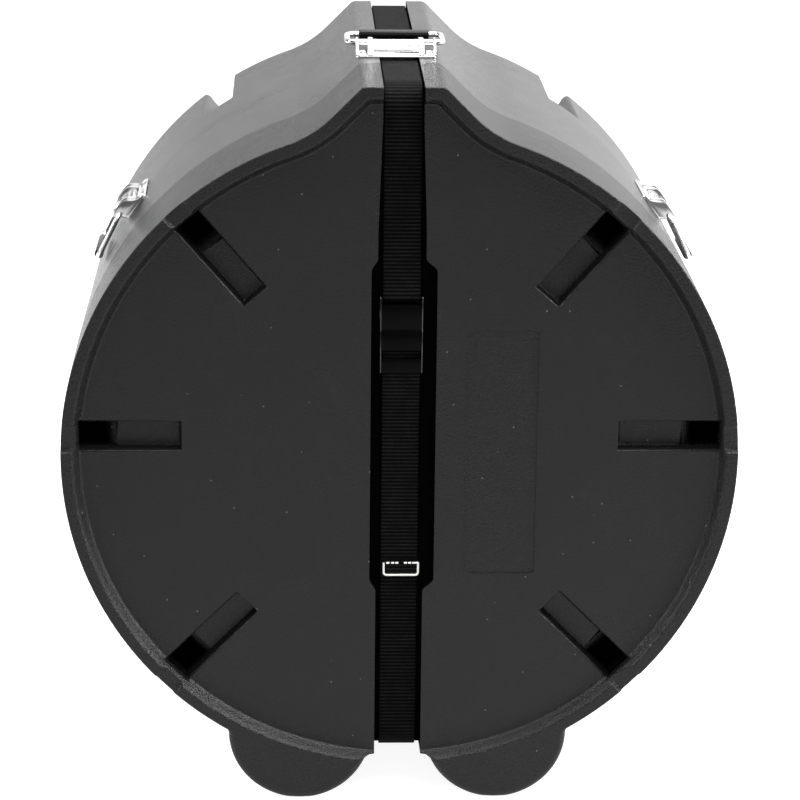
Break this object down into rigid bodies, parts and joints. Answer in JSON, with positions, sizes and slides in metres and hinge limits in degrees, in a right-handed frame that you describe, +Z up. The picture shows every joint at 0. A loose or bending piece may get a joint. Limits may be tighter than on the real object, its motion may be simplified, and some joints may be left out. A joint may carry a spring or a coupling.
{
  "type": "drum case",
  "caption": "Round moulded drum case standing on rounded feet, with a pull-off lid, slotted face, strap and side-release buckle in a channel, and folding chrome handles.",
  "frame": {"origin": "centre of the case's footprint, on the surface it stands on", "axes": "+Z up, the lid with the buckle faces -Y, +X to the right seen from the front"},
  "size_m": [0.6898, 0.535, 0.772],
  "materials": {
    "shell_plastic": "fine pebble, low sheen",
    "webbing": "woven ribbed webbing",
    "buckle_plastic": "satin",
    "chrome": "bright plated",
    "grip_sleeve": "smooth"
  },
  "bodies": {
    "base": {"rear_shell": "shell_plastic", "strap_rear": "webbing", "handle_base_top": "chrome", "handle_base_left": "chrome", "handle_base_right": "chrome", "rivet_top_1": "chrome", "rivet_top_2": "chrome", "rivet_top_3": "chrome", "rivet_top_4": "chrome", "rivet_left_1": "chrome", "rivet_left_2": "chrome", "rivet_left_3": "chrome", "rivet_left_4": "chrome", "rivet_right_1": "chrome", "rivet_right_2": "chrome", "rivet_right_3": "chrome", "rivet_right_4": "chrome"},
    "lid": {"front_shell": "shell_plastic", "strap_lid_upper": "webbing", "strap_lid_lower": "webbing", "strap_end_tab": "webbing", "buckle_socket": "buckle_plastic"},
    "plug": {"buckle_plug": "buckle_plastic"},
    "prong_left": {"buckle_prong_left": "buckle_plastic"},
    "prong_right": {"buckle_prong_right": "buckle_plastic"},
    "bail_top": {"handle_bail_top": "chrome", "handle_grip_top": "grip_sleeve"},
    "bail_left": {"handle_bail_left": "chrome", "handle_grip_left": "grip_sleeve"},
    "bail_right": {"handle_bail_right": "chrome", "handle_grip_right": "grip_sleeve"}
  },
  "joints": [
    {"name": "lid_pull", "type": "slide", "parent": "base", "child": "lid", "axis": [0, -1, 0], "range_m": [0, 0.16]},
    {"name": "plug_release", "type": "slide", "parent": "lid", "child": "plug", "axis": [0, 0, -1], "range_m": [0, 0.025], "deforming": ["strap_lid_lower"]},
    {"name": "prong_left_squeeze", "type": "hinge", "parent": "plug", "child": "prong_left", "pos_m": [-0.0148, -0.25032, 0.5024], "axis": [0, 1, 0], "range_deg": [0, 6], "stiffness_Nm_per_rad": 0.05},
    {"name": "prong_right_squeeze", "type": "hinge", "parent": "plug", "child": "prong_right", "pos_m": [0.0148, -0.25032, 0.5024], "axis": [0, -1, 0], "range_deg": [0, 6], "stiffness_Nm_per_rad": 0.05},
    {"name": "handle_top_lift", "type": "hinge", "parent": "base", "child": "bail_top", "pos_m": [-0.003, -0.075, 0.7665], "axis": [1, 0, 0], "range_deg": [0, 110]},
    {"name": "handle_right_lift", "type": "hinge", "parent": "base", "child": "bail_right", "pos_m": [0.29544, 0.014, 0.57154], "axis": [0, -1, 0], "range_deg": [0, 110]},
    {"name": "handle_left_lift", "type": "hinge", "parent": "base", "child": "bail_left", "pos_m": [-0.29544, 0.014, 0.57154], "axis": [0, 1, 0], "range_deg": [0, 110]}
  ],
  "couplings": [
    {"joint": "prong_right_squeeze", "follows": "prong_left_squeeze", "ratio": 1}
  ]
}
